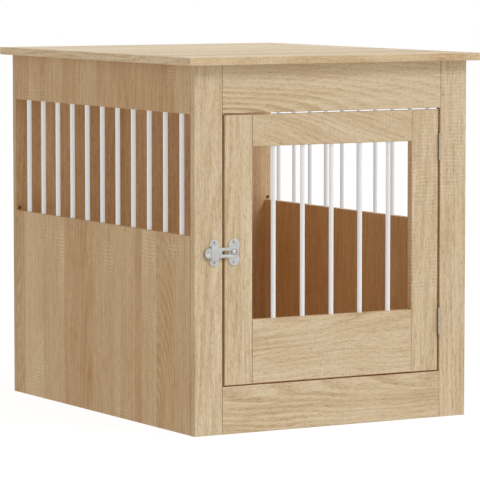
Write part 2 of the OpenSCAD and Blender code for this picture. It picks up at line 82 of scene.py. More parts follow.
def linear(code: str) -> tuple[float, float, float, float]:
    """Turns an sRGB hex colour into linear light.

    Args:
        code: The colour, such as "#CDB48E".
    Returns:
        Red, green, blue and alpha.
    """
    channels = [int(code[i:i + 2], 16) / 255 for i in (1, 3, 5)]
    red, green, blue = (c / 12.92 if c <= 0.04045 else ((c + 0.055) / 1.055) ** 2.4 for c in channels)
    return red, green, blue, 1.0


class Graph:
    """A node tree that grows by one node at a time."""

    def __init__(self, tree: bpy.types.NodeTree, prefix: str) -> None:
        """Starts an empty graph.

        Args:
            tree: The node tree, which is emptied.
            prefix: What the names of its own kinds of node start with.
        """
        self.tree = tree
        self.prefix = prefix
        tree.nodes.clear()

    def add(self, kind: str, *values: Any, out: int | str = 0, **settings: Any) -> Any:
        """Adds a node with its settings, constants and links.

        Args:
            kind: The node's type, without the graph's prefix or in full.
            values: What goes into its inputs in their order, where None leaves one alone.
            out: The output to return, by its place or its name.
            settings: The node's own properties, and inputs by name with _ for a space.
        Returns:
            That output, or None if the node has none.
        """
        node = self.tree.nodes.new(kind if "Node" in kind else self.prefix + kind)
        for key, value in settings.items():
            if hasattr(node, key):
                setattr(node, key, value)
        inputs = [s for s in node.inputs if s.enabled]
        wanted = list(zip(inputs, values))
        for key, value in settings.items():
            if not hasattr(node, key):
                wanted.append((next(s for s in inputs if s.name == key.replace("_", " ")), value))
        for socket, value in wanted:
            if isinstance(value, bpy.types.NodeSocket):
                self.tree.links.new(value, socket)
            elif value is not None:
                socket.default_value = value
        outputs = [s for s in node.outputs if s.enabled]
        if isinstance(out, str):
            return next(s for s in outputs if s.name == out)
        return outputs[out] if outputs else None


def placed(name: str, data: Any) -> bpy.types.Object:
    """Makes an object and links it to the scene.

    Args:
        name: Its name.
        data: Its mesh, lamp or camera.
    Returns:
        The object.
    """
    made = bpy.data.objects.new(name, data)
    bpy.context.scene.collection.objects.link(made)
    return made


def new_material(name: str) -> tuple[bpy.types.Material, Graph]:
    """Starts a material.

    Args:
        name: Its name.
    Returns:
        The material and its empty graph.
    """
    made = bpy.data.materials.new(name)
    made.use_nodes = True
    return made, Graph(made.node_tree, "ShaderNode")


class Grain(Enum):
    """Which way a board's grain runs: its axes across, through and along the grain."""

    UPRIGHT = "XYZ"
    UPRIGHT_SIDE = "YXZ"
    LEVEL = "ZYX"
    FLAT = "YZX"


@dataclass(frozen=True)
class Stave:
    """One strip of the print, as if glued up from a strip of oak.

    Its tone runs from 0, pale, to 1, brown. The pith of its tree lies `pith` to the side of its middle and
    `near` below its face, and comes nearer or goes deeper along the strip by `tilt`. Saw marks show from
    `sawn_at` along the grain as far as `sawn_for` both ways. Its rings show as clearly as `ringed` says.
    """

    width: float
    tone: float
    pith: float
    near: float
    tilt: float
    sawn_at: float = 0.0
    sawn_for: float = 0.0
    ringed: float = 1.0

    @staticmethod
    def glued_up(total: float, usual: float, seed: int) -> tuple["Stave", ...]:
        """Fills a board's width with strips of uneven width and tone.

        Args:
            total: The board's width across the grain.
            usual: The usual width of a strip.
            seed: Picks the strips.
        Returns:
            The strips in their order.
        """
        pick = random.Random(seed)
        strips = []
        while sum(s.width for s in strips) < total:
            strips.append(Stave(usual * pick.uniform(0.7, 1.3), pick.random(),
                                usual * pick.uniform(-1.1, 1.1), pick.uniform(8, 60) * MM,
                                pick.uniform(-0.10, 0.10), pick.uniform(-300, 300) * MM,
                                pick.uniform(20, 90) * MM))
        return tuple(strips)


@dataclass(frozen=True)
class Knot:
    """A small knot that the grain flows round, at a place from the board's middle."""

    across: float
    along: float
    width: float
    length: float


@dataclass(frozen=True)
class OakFoil:
    """Light oak print on melamine paper over engineered board.

    The eye gets a sawn oak figure under a satin skin: staves of slightly different tone, soft arched growth
    rings, fine short dark pores, pale ladders of saw marks, and brown lines where boards meet.

    `warm` is the share of the redder, browner print, which is painted shade: it gives side walls, edges and
    the inside the colour of the shade they lie in. `sway` is how far the grain wanders, `slant` how much it
    leans,
    `run` how long its streaks are and `ragged` how uneven its rings are. `level` is how brown the print is on
    average, and `contrast`, `broad`, `fine`, `figure` and `sawn` are how strongly staves, clouds, streaks,
    rings and saw marks show in it. `butted` is the grain's axis whose ends butt against another board. The
    end faces of the axes in `warm_edges` have the redder print by `edge_warmth`, as painted shade. Rings fade
    out past
    `ring_reach` from their pith.
    """

    name: str
    grain: Grain
    low: Vector
    high: Vector
    seed: float
    staves: tuple[Stave, ...]
    knots: tuple[Knot, ...] = ()
    warm: float = 0.0
    sway: float = 14 * MM
    slant: float = 0.0
    run: float = 160 * MM
    level: float = 0.52
    contrast: float = 0.30
    broad: float = 0.60
    fine: float = 1.0
    figure: float = 0.22
    sawn: float = 0.40
    butted: int | None = None
    warm_edges: str = "X"
    edge_warmth: float = 0.5
    ring_reach: float = 120 * MM
    ragged: float = 0.6

    # LIGHT is the print of faces in full light; WARM is painted shade, the same print redder and browner for
    # faces in shade
    LIGHT = ("#E2D4B7", "#AF9067")
    WARM = ("#D3B890", "#AB7D47")
    PORE = linear("#8F6C48")
    MARK = linear("#EFE3C8")
    JOINT = linear("#80593A")
    RING = 9 * MM
    SAW_PITCH = 7 * MM
    LIFT = 2.0
    PORE_SHOWS = 0.50
    JOINT_SHOWS = 0.65
    KNOT_SHOWS = 0.45

    def streaks(self, g: Graph, place: Any, width: float, length: float, detail: float = 2.0) -> Any:
        """Noise drawn out along the grain. Its own width sets it apart from the board's other noises.

        Args:
            g: The graph.
            place: The place in the board's axes.
            width: Width of one streak across the grain.
            length: Length of one streak.
            detail: Octaves of finer noise.
        Returns:
            A value from 0 to 1, 0.5 on average.
        """
        drawn = g.add("Mapping", place, Scale=(1 / width, 1 / width, 1 / length),
                      Location=(self.seed * 7.31, width * 900, self.seed * 3.17))
        return g.add("TexNoise", drawn, Scale=1.0, Detail=detail, Roughness=0.55)

    def place(self, g: Graph) -> tuple[Any, Any, Any]:
        """Turns object coordinates into the board's own axes, with the grain along Z on its end faces too.

        Args:
            g: The graph.
        Returns:
            The place, a value that is 1 on the edges that butt against another board, and the share of the
            redder print that edge faces have, as painted shade.
        """
        centre = (self.low + self.high) / 2
        half = {axis: (self.high - self.low)["XYZ".index(axis)] / 2 for axis in "XYZ"}
        spot = g.add("Mapping", g.add("TexCoord", out="Object"), Location=-centre)
        axes = g.add("SeparateXYZ", spot).node.outputs
        across, depth, along = (axes[axis] for axis in self.grain.value)
        rims = {axis: g.add("MapRange", g.add("Math", axes[axis], operation="ABSOLUTE"),
                            half[axis] - EDGE_EASE, half[axis] - EDGE_EASE * 0.5, 0.0, 1.0)
                for axis in "XYZ"}
        at_end = g.add("Math", rims[self.grain.value[2]], 0.9, operation="GREATER_THAN")
        face = g.add("CombineXYZ", across, depth, along)
        end = g.add("CombineXYZ", depth, along, across)
        place = g.add("Mix", at_end, face, end, data_type="VECTOR")
        joint = 0.0
        if self.butted is not None:
            ends = rims[self.grain.value[self.butted]]
            joint = g.add("Math", ends, rims[self.grain.value[1]], operation="MULTIPLY")
        # Edge faces get the redder print as painted shade
        warm = 0.0
        for axis in self.warm_edges:
            warm = g.add("Math", warm, g.add("Math", rims[axis], self.edge_warmth, operation="MULTIPLY"),
                         operation="MAXIMUM")
        return place, joint, warm

    def flowing(self, g: Graph, place: Any) -> tuple[Any, Any]:
        """Lets the grain wander sideways in long soft waves, and flow round the knots.

        Args:
            g: The graph.
            place: The place in the board's axes.
        Returns:
            The place, shifted across the grain, and a value that is 1 in the middle of a knot.
        """
        wave = self.streaks(g, place, 75 * MM, 230 * MM, 1.0)
        shift = g.add("MapRange", wave, 0.0, 1.0, -self.sway, self.sway, clamp=False)
        along = g.add("SeparateXYZ", place, out="Z")
        shift = g.add("Math", along, self.slant, shift, operation="MULTIPLY_ADD")
        core = 0.0
        for knot in self.knots:
            spot = g.add("Mapping", place, vector_type="TEXTURE", Location=(knot.across, 0.0, knot.along),
                         Scale=(knot.width, 1.0, knot.length))
            axes = g.add("SeparateXYZ", spot).node.outputs
            flat = g.add("CombineXYZ", axes["X"], 0.0, axes["Z"])
            away = g.add("VectorMath", flat, operation="LENGTH", out="Value")
            swell = g.add("MapRange", away, 0.0, 1.0, -0.8 * knot.width, 0.0,
                          interpolation_type="SMOOTHERSTEP")
            shift = g.add("Math", swell, axes["X"], shift, operation="MULTIPLY_ADD")
            core = g.add("Math", core, g.add("MapRange", away, 0.05, 0.25, 1.0, 0.0), operation="MAXIMUM")
        return g.add("VectorMath", place, g.add("CombineXYZ", shift, 0.0, 0.0), operation="ADD"), core

    def strips(self, g: Graph, across: Any) -> tuple[Any, ...]:
        """Finds the strip that a place lies on.

        Args:
            g: The graph.
            across: The place across the grain.
        Returns:
            The strip's tone, its pith's place across the grain, depth and tilt, the place and reach of its
            saw marks, and how clearly its rings show.
        """
        total = sum(stave.width for stave in self.staves)
        share = g.add("Math", across, 1 / total, 0.5, operation="MULTIPLY_ADD")
        starts = [sum(stave.width for stave in self.staves[:index]) for index in range(len(self.staves))]
        piths = [start + (stave.width - total) / 2 + stave.pith for start, stave in zip(starts, self.staves)]
        tables = ([(stave.tone, pith, stave.near, stave.tilt) for stave, pith in zip(self.staves, piths)],
                  [(stave.sawn_at, stave.sawn_for, stave.ringed) for stave in self.staves])
        found = []
        for rows in tables:
            ramp = g.add("ValToRGB", share).node
            ramp.color_ramp.interpolation = "CONSTANT"
            stops = ramp.color_ramp.elements
            stops.remove(stops[-1])
            for index, row in enumerate(rows):
                stop = stops.new(starts[index] / total) if index else stops[0]
                # A ramp holds nothing below 0, so its values are lifted and lowered again
                stop.color = [value + self.LIFT for value in (*row, 0.0)[:4]]
            held = [*g.add("SeparateColor", ramp.outputs["Color"]).node.outputs, ramp.outputs["Alpha"]]
            found += [g.add("Math", value, self.LIFT, operation="SUBTRACT") for value in held[:len(rows[0])]]
        return tuple(found)

    def rings(self, g: Graph, place: Any, strip: tuple[Any, ...]) -> Any:
        """Growth rings as the face cuts them: arches where the pith comes near, lines away from it.

        Args:
            g: The graph.
            place: The place in the board's axes.
            strip: What strips() gives.
        Returns:
            How strongly a ring shows: it rises through each ring and falls off at its end.
        """
        axes = g.add("SeparateXYZ", place).node.outputs
        across = g.add("Math", axes["X"], strip[1], operation="SUBTRACT")
        deep = g.add("Math", axes["Z"], strip[3], strip[2], operation="MULTIPLY_ADD")
        away = g.add("VectorMath", g.add("CombineXYZ", across, deep, 0.0), operation="LENGTH", out="Value")
        ragged = g.add("Math", self.streaks(g, place, 12 * MM, 110 * MM, 3.0), self.ragged,
                       operation="MULTIPLY")
        phase = g.add("Math", g.add("Math", away, 1 / self.RING, ragged, operation="MULTIPLY_ADD"),
                      operation="FRACT")
        rise = g.add("MapRange", phase, 0.10, 0.80, 0.0, 1.0, interpolation_type="SMOOTHSTEP")
        fall = g.add("MapRange", phase, 0.80, 1.0, 1.0, 0.0, interpolation_type="SMOOTHSTEP")
        clear = g.add("MapRange", self.streaks(g, place, 50 * MM, 260 * MM, 1.0), 0.35, 0.65, 0.3, 1.0)
        fading = g.add("MapRange", away, self.ring_reach * 0.6, self.ring_reach * 1.3, 1.0, 0.25)
        shown = g.add("Math", g.add("Math", clear, strip[6], operation="MULTIPLY"), fading,
                      operation="MULTIPLY")
        return g.add("Math", g.add("Math", rise, fall, operation="MULTIPLY"), shown, operation="MULTIPLY")

    def hairlines(self, g: Graph, place: Any) -> Any:
        """Thin unbroken lines that wander along the grain.

        Args:
            g: The graph.
            place: The place in the board's axes.
        Returns:
            A value that is 1 in the middle of a line.
        """
        off = g.add("Math", self.streaks(g, place, 8 * MM, 130 * MM, 2.0), 0.5, operation="SUBTRACT")
        line = g.add("MapRange", g.add("Math", off, operation="ABSOLUTE"), 0.0, 0.06, 1.0, 0.0)
        faint = g.add("MapRange", self.streaks(g, place, 9 * MM, 60 * MM, 1.0), 0.35, 0.65, 0.2, 1.0)
        return g.add("Math", line, faint, operation="MULTIPLY")

    def saw_marks(self, g: Graph, place: Any, strip: tuple[Any, ...]) -> Any:
        """Pale ladders that the saw left across the grain, here and there.

        Args:
            g: The graph.
            place: The place in the board's axes.
            strip: What strips() gives.
        Returns:
            A value that is 1 on a mark.
        """
        along = g.add("SeparateXYZ", place, out="Z")
        warp = g.add("Math", self.streaks(g, place, 60 * MM, 60 * MM, 1.0), 1.6, operation="MULTIPLY")
        rung = g.add("Math", along, 1 / self.SAW_PITCH, warp, operation="MULTIPLY_ADD")
        fold = g.add("Math", g.add("Math", rung, 0.5, operation="PINGPONG"), 2.0, operation="MULTIPLY")
        line = g.add("MapRange", fold, 0.45, 0.95, 0.0, 1.0, interpolation_type="SMOOTHSTEP")
        broken = g.add("MapRange", self.streaks(g, place, 16 * MM, 6 * MM, 1.0), 0.35, 0.60, 0.1, 1.0)
        hatch = g.add("MapRange", self.streaks(g, place, 3.2 * MM, 45 * MM, 1.0), 0.55, 0.75, 0.0, 0.7)
        both = g.add("Math", g.add("Math", line, broken, operation="MULTIPLY"), hatch, operation="MAXIMUM")
        where = g.add("MapRange", self.streaks(g, place, 46 * MM, 150 * MM, 1.0), 0.40, 0.55, 0.0, 1.0)
        away = g.add("Math", g.add("Math", along, strip[4], operation="SUBTRACT"), operation="ABSOLUTE")
        left = g.add("Math", strip[5], away, operation="SUBTRACT")
        near = g.add("MapRange", left, 0.0, 30 * MM, 0.0, 1.0)
        return g.add("Math", both, g.add("Math", where, near, operation="MULTIPLY"), operation="MULTIPLY")

    def material(self) -> bpy.types.Material:
        """Builds the finish.

        Returns:
            The material.
        """
        made, g = new_material(self.name)
        straight, joint, edge_shade_share = self.place(g)
        place, knot = self.flowing(g, straight)
        strip = self.strips(g, g.add("SeparateXYZ", straight, out="X"))
        ring = self.rings(g, place, strip)
        hair = self.streaks(g, place, 0.6 * MM, 9 * MM, 2.0)
        # Each layer of the print, how strongly it shows, and its value on average
        layers = ((ring, self.figure, 0.38), (strip[0], self.contrast, 0.5),
                  (self.streaks(g, place, 24 * MM, 420 * MM, 2.0), self.broad, 0.5),
                  (self.streaks(g, place, 2.3 * MM, self.run, 3.0), 0.70 * self.fine, 0.5),
                  (self.streaks(g, place, 1.5 * MM, 16 * MM, 2.0), 0.80 * self.fine, 0.5),
                  (self.hairlines(g, place), 0.22 * self.fine, 0.18),
                  (hair, 0.20 * self.fine, 0.5),
                  (self.streaks(g, place, 130 * MM, 240 * MM, 1.0), 0.20, 0.5))
        tone = self.level - sum(share * middle for _, share, middle in layers)
        for layer, share, _ in layers:
            tone = g.add("Math", layer, share, tone, operation="MULTIPLY_ADD")
        darker = g.add("Math", knot, self.KNOT_SHOWS, operation="MULTIPLY")
        tone = g.add("Math", darker, tone, operation="ADD", use_clamp=True)
        # The redder print is painted shade, for the side walls, the edges and the inside
        shade_share = g.add("Math", edge_shade_share, self.warm, operation="MAXIMUM")
        pale, brown = (g.add("Mix", shade_share, linear(light), linear(warm), data_type="RGBA")
                       for light, warm in zip(self.LIGHT, self.WARM))
        colour = g.add("Mix", tone, pale, brown, data_type="RGBA")
        mark = g.add("Math", self.saw_marks(g, straight, strip), self.sawn, operation="MULTIPLY")
        colour = g.add("Mix", mark, colour, self.MARK, data_type="RGBA")
        # Pores are 0.3 mm wide in oak, drawn at 1 mm so that they show
        in_ring = g.add("Math", ring, 0.06, self.streaks(g, place, 1.0 * MM, 8 * MM, 2.0),
                        operation="MULTIPLY_ADD")
        pore = g.add("MapRange", in_ring, 0.56, 0.70, 0.0, 1.0)
        stains = ((pore, self.PORE_SHOWS, self.PORE), (joint, self.JOINT_SHOWS, self.JOINT))
        for where, share, stain in stains:
            shown = g.add("Math", where, share, operation="MULTIPLY")
            colour = g.add("Mix", shown, colour, stain, data_type="RGBA")
        height = g.add("Math", pore, -0.8, hair, operation="MULTIPLY_ADD")
        bump = g.add("Bump", Strength=0.30, Distance=0.10 * MM, Height=height)
        rough = g.add("MapRange", pore, 0.0, 1.0, 0.54, 0.68)
        shader = g.add("BsdfPrincipled", Base_Color=colour, Roughness=rough, IOR=1.5, Normal=bump)
        g.add("OutputMaterial", shader)
        return made


class Metal(Enum):
    """The metal finishes, each with its colour, roughness and the size of its surface texture.

    DIE_CAST is tumbled die-cast zinc, pale grey with a soft orange-peel sheen. NICKEL is satin nickel
    plate on rolled steel, of a warmer tint and fairly bright. ZINC is bright zinc plate, cooler and finely
    hazy.
    """

    DIE_CAST = ("die_cast_zinc", "#C1C1C0", 0.50, 0.9 * MM)
    NICKEL = ("satin_nickel_plate", "#BBAEA2", 0.34, 0.6 * MM)
    ZINC = ("bright_zinc_plate", "#B8B8B7", 0.27, 0.5 * MM)

    def material(self) -> bpy.types.Material:
        """Builds the material, or returns it if it is there.

        Returns:
            The finished material.
        """
        name, colour, rough, size = self.value
        if name in bpy.data.materials:
            return bpy.data.materials[name]
        made, g = new_material(name)
        spot = g.add("TexCoord", out="Object")
        grit = g.add("TexNoise", spot, Scale=1 / size, Detail=2.0)
        haze = g.add("TexNoise", spot, Scale=1 / (9 * MM), Detail=2.0)
        base = linear(colour)
        # Handled spots are a tenth darker, and a trace warmer
        dull = (base[0] * 0.90, base[1] * 0.90, base[2] * 0.89, 1.0)
        tint = g.add("MapRange", haze, 0.30, 0.70, 0.0, 1.0)
        mixed = g.add("Mix", tint, base, dull, data_type="RGBA")
        sheen = g.add("MapRange", haze, 0.3, 0.7, rough, rough + 0.12)
        bump = g.add("Bump", Strength=0.25, Distance=0.05 * MM, Height=grit)
        shader = g.add("BsdfPrincipled", Base_Color=mixed, Roughness=sheen, Metallic=1.0, Normal=bump)
        g.add("OutputMaterial", shader)
        return made


@dataclass(frozen=True)
class PowderCoat:
    """White polyester powder coat on steel rod: a satin skin with faint orange peel and a soft highlight.

    Light seeps through the thick white coat. A weak glow is painted light, not a lamp: it evens out the
    shading of the thin rods, so the base colour is a light grey.
    """

    name: str = "white_powder_coat"
    colour: str = "#B8B7B6"
    dusty: str = "#BDB8B0"
    dust_size: float = 60 * MM
    # The glow is painted light that flattens the rods' shading
    glow_tint: str = "#F2F8FF"
    glow: float = 0.355
    seep: float = 10 * MM
    rough: float = 0.50
    peel: float = 1.6 * MM

    def material(self) -> bpy.types.Material:
        """Builds the finish.

        Returns:
            The material.
        """
        made, g = new_material(self.name)
        spot = g.add("TexCoord", out="Object")
        peel = g.add("TexNoise", spot, Scale=1 / self.peel, Detail=1.0)
        cloud = g.add("TexNoise", spot, Scale=1 / self.dust_size, Detail=3.0)
        dust = g.add("MapRange", cloud, 0.3, 0.8, 0.0, 0.10)
        colour = g.add("Mix", dust, linear(self.colour), linear(self.dusty), data_type="RGBA")
        bump = g.add("Bump", Strength=0.2, Distance=0.06 * MM, Height=peel)
        rough = g.add("MapRange", peel, 0.3, 0.7, self.rough, self.rough + 0.08)
        # The emission is painted light: it fills in the rods' shaded sides
        shader = g.add("BsdfPrincipled", Base_Color=colour, Roughness=rough, IOR=1.45, Normal=bump,
                       Subsurface_Weight=1.0, Subsurface_Radius=(1.0, 1.0, 1.0), Subsurface_Scale=self.seep,
                       Emission_Color=linear(self.glow_tint), Emission_Strength=self.glow)
        g.add("OutputMaterial", shader)
        return made


def applied(mesh: bpy.types.Mesh, kind: str, **settings: Any) -> bpy.types.Mesh:
    """Applies a modifier to a mesh.

    Args:
        mesh: The mesh.
        kind: The modifier's type.
        settings: Its properties, and a pattern's inputs by identifier.
    Returns:
        The result as a plain mesh.
    """
    carrier = placed("carrier", mesh)
    modifier = carrier.modifiers.new("applied", kind)
    for key, value in settings.items():
        if hasattr(modifier, key):
            setattr(modifier, key, value)
        else:
            modifier[key] = value
    graph = bpy.context.evaluated_depsgraph_get()
    result = bpy.data.meshes.new_from_object(carrier.evaluated_get(graph), depsgraph=graph)
    carrier.modifiers.remove(modifier)
    bpy.data.objects.remove(carrier)
    return result


class Pattern:
    """A Geometry Nodes tree with named inputs, whose result becomes one plain mesh."""

    KINDS = {float: "NodeSocketFloat", int: "NodeSocketInt", tuple: "NodeSocketVector",
             bpy.types.Material: "NodeSocketMaterial", bpy.types.Object: "NodeSocketObject"}

    def __init__(self, name: str, **inputs: Any) -> None:
        """Starts the tree.

        Args:
            name: The tree's name.
            inputs: The named inputs with the values that this pattern takes.
        """
        self.tree = bpy.data.node_groups.new(name, "GeometryNodeTree")
        self.graph = Graph(self.tree, "GeometryNode")
        self.tree.interface.new_socket("Geometry", in_out="OUTPUT", socket_type="NodeSocketGeometry")
        self.tree.interface.new_socket("Geometry", in_out="INPUT", socket_type="NodeSocketGeometry")
        self.values = {}
        for key, value in inputs.items():
            kind = next(name for kind, name in self.KINDS.items() if isinstance(value, kind))
            socket = self.tree.interface.new_socket(key, in_out="INPUT", socket_type=kind)
            self.values[socket.identifier] = value
        self.inputs = self.graph.add("NodeGroupInput").node.outputs

    def end(self, instances: Any) -> None:
        """Realizes the instances, gives them their material and closes the tree.

        Args:
            instances: The output that holds them.
        """
        whole = self.graph.add("RealizeInstances", instances)
        dressed = self.graph.add("SetMaterial", whole, Material=self.inputs["Material"])
        self.graph.add("NodeGroupOutput", dressed)

    def mesh(self, points: bpy.types.Mesh) -> bpy.types.Mesh:
        """Runs the tree on a mesh of points, and returns the result as a plain mesh."""
        return applied(points, "NODES", node_group=self.tree, **self.values)


def point_mesh(places: list[tuple[Vector, Vector]]) -> bpy.types.Mesh:
    """Makes loose points that carry the way their fittings look.

    Args:
        places: Each point with its fitting's direction.
    Returns:
        A mesh with a vector attribute "facing".
    """
    mesh = bpy.data.meshes.new("points")
    mesh.from_pydata([tuple(place) for place, _ in places], [], [])
    turns = mesh.attributes.new("facing", "FLOAT_VECTOR", "POINT")
    for item, (_, facing) in zip(turns.data, places):
        item.vector = facing
    return mesh


def smooth(mesh: bpy.types.Mesh) -> bpy.types.Mesh:
    """Shades a mesh smooth, apart from its sharp edges."""
    mesh.polygons.foreach_set("use_smooth", [True] * len(mesh.polygons))
    mesh.set_sharp_from_angle(angle=SMOOTH_BELOW)
    return mesh


def softened(node: str, width: float) -> bpy.types.Mesh:
    """Copies a CAD node's mesh, joins its loose triangles and rounds its edges.

    Args:
        node: The CAD node's name.
        width: How wide an edge is rounded.
    Returns:
        The new mesh.
    """
    mesh = bpy.data.objects[node].data.copy()
    shape = bmesh.new()
    shape.from_mesh(mesh)
    bmesh.ops.remove_doubles(shape, verts=shape.verts, dist=MERGE)
    bmesh.ops.dissolve_limit(shape, angle_limit=FLAT_WITHIN, verts=shape.verts, edges=shape.edges)
    shape.to_mesh(mesh)
    shape.free()
    rounded = applied(mesh, "BEVEL", width=width, segments=3, limit_method="ANGLE", angle_limit=BEVEL_ABOVE)
    return smooth(applied(rounded, "WELD", merge_threshold=ONE_SPOT))


def add_piece(name: str, mesh: bpy.types.Mesh, body: str, material: bpy.types.Material,
              nodes: list[str]) -> None:
    """Puts a finished mesh into the scene in place of CAD nodes.

    Args:
        name: The piece's name.
        mesh: Its mesh, already in place.
        body: The CAD body it rides on.
        material: Its material.
        nodes: The CAD nodes it stands for.
    """
    mesh.name = name
    mesh.materials.clear()
    mesh.materials.append(material)
    piece = placed(name, mesh)
    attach(piece, body)
    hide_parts(*nodes)
    LOG.info("%s: %d faces, rides on %s", name, len(mesh.polygons), body)


def dress(node: str, material: bpy.types.Material) -> None:
    """Gives a CAD node that stays a new material."""
    held = bpy.data.objects[node].data
    held.materials.clear()
    held.materials.append(material)


@dataclass
class Boards:
    """The boards of the body and the door, which keep their CAD shape and get their foil."""

    stave: float = 80 * MM

    def dress(self) -> None:
        """Gives each board a print of its own, laid as its grain runs.

        The rows of narrow boards hold what whole() takes.
        """
        upright = (("front_left_stile", 30, 70, 0.05, 0, 0), ("front_right_stile", -50, 40, 0.04, 220, 160),
                   ("door_latch_stile", -60, 60, -0.05, 0, 0), ("door_hinge_stile", 40, 80, 0.04, 80, 200))
        level = (("front_header", -48, 37, 0.153, 200, 60, 2.4),
                 ("front_bottom_rail", 40, 30, -0.08, 30, 50, 1.3),
                 ("door_top_rail", -80, 30, 0.05, 120, 40), ("door_bottom_rail", 60, 45, 0.06, 0, 60, 1.2))
        own = {"front_header": {"level": 0.47, "sway": 7 * MM, "ring_reach": 42 * MM, "broad": 0.55,
                                "fine": 0.50, "figure": 0.30, "ragged": 0.35},
               "door_top_rail": {"level": 0.56, "slant": 0.30, "broad": 0.60, "fine": 0.60}}
        # The rails' end faces and their top and under faces get the redder print as painted shade
        alike = {"butted": 2, "sway": 16 * MM, "run": 320 * MM, "sawn": 0.25, "fine": 0.70, "broad": 0.75,
                 "warm_edges": "XZ"}
        for seed, (node, *print_of) in enumerate(upright, 1):
            self.lay(node, Grain.UPRIGHT, seed, staves=(self.whole(*print_of),), sway=7 * MM)
        for seed, (node, *print_of) in enumerate(level, 5):
            self.lay(node, Grain.LEVEL, seed, staves=(self.whole(*print_of),), **(alike | own.get(node, {})))
        # Side walls, inner boards and the floor panel get the redder print as painted shade; in others, the
        # rear panel and the right lower board take only the share in each row's last column
        warm = {"warm": 1.0, "sway": 6 * MM, "broad": 0.50, "fine": 0.95, "butted": 0}
        self.lay("left_lower_board", Grain.UPRIGHT_SIDE, 21, staves=self.left_wall(), knots=self.left_knots(),
                 **(warm | {"contrast": 0.50, "level": 0.57, "figure": 0.40, "fine": 1.10}))
        others = (("left_upper_rail", Grain.UPRIGHT_SIDE, 0.30, 1.0),
                  ("right_upper_rail", Grain.UPRIGHT_SIDE, 0.30, 1.0),
                  ("right_lower_board", Grain.UPRIGHT_SIDE, 0.30, 0.7),
                  ("rear_panel", Grain.UPRIGHT, 0.55, 0.5),
                  ("floor_panel", Grain.FLAT, 0.30, 1.0))
        warm |= {"sawn": 0.25, "level": 0.53, "figure": 0.15}
        for seed, (node, grain, contrast, share) in enumerate(others, 22):
            self.lay(node, grain, seed, staves=self.glued_up(node, grain, seed),
                     **(warm | {"contrast": contrast, "warm": share}))
        # The tabletop's edge faces get the redder print as painted shade
        self.lay("tabletop", Grain.FLAT, 30, staves=self.glued_up("tabletop", Grain.FLAT, 30), level=0.41,
                 warm_edges="XY")

    def whole(self, pith: float, near: float, tilt: float, sawn_at: float, sawn_for: float,
              ringed: float = 1.0) -> Stave:
        """The one strip of a narrow board, its places in millimetres."""
        return Stave(1.0, 0.5, pith * MM, near * MM, tilt, sawn_at * MM, sawn_for * MM, ringed)

    def glued_up(self, node: str, grain: Grain, seed: int) -> tuple[Stave, ...]:
        """Picks the strips of a wide board."""
        low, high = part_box(node)
        return Stave.glued_up((high - low)["XYZ".index(grain.value[0])], self.stave, seed)

    def left_wall(self) -> tuple[Stave, ...]:
        """The strips of the left lower board, from the front to the back, as the photograph shows them."""
        strips = ((74, 0.35, 80, 60, 0.03, 162, 30, 0.5), (74, 0.55, 37, 58, 0.34, 160, 34, 1.1),
                  (55, 0.20, 70, 50, 0.03, 103, 105, 0.4), (30, 0.75, 60, 40, 0.03, 0, 0, 0.5),
                  (77, 0.30, -70, 60, 0.02, -170, 20, 0.5), (98, 0.50, 80, 50, 0.04, 117, 50, 0.5),
                  (122, 0.75, -50, 45, 0.05, 0, 0, 1.0), (93, 0.35, 90, 60, 0.03, 110, 75, 0.4),
                  (84, 0.05, 80, 60, 0.02, -115, 90, 0.3), (55, 0.60, 10, 30, -0.20, 0, 0, 1.0))
        return tuple(Stave(width * MM, tone, pith * MM, near * MM, tilt, sawn_at * MM, sawn_for * MM, ringed)
                     for width, tone, pith, near, tilt, sawn_at, sawn_for, ringed in strips)

    def left_knots(self) -> tuple[Knot, ...]:
        """The knots of the left lower board."""
        places = ((42, -124, 24, 38), (352, -15, 20, 44), (350, -115, 20, 44))
        return tuple(Knot(*(value * MM for value in place)) for place in places)

    def lay(self, node: str, grain: Grain, seed: float, **figure: Any) -> None:
        """Dresses one board.

        Args:
            node: The board's CAD node.
            grain: Which way its grain runs.
            seed: Sets its print apart from the other boards'.
            figure: The print's own values.
        """
        low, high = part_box(node)
        foil = OakFoil(name=f"oak_foil_{node}", grain=grain, low=low, high=high, seed=seed, **figure)
        dress(node, foil.material())
        LOG.info("%s: oak foil, grain %s", node, grain.name)


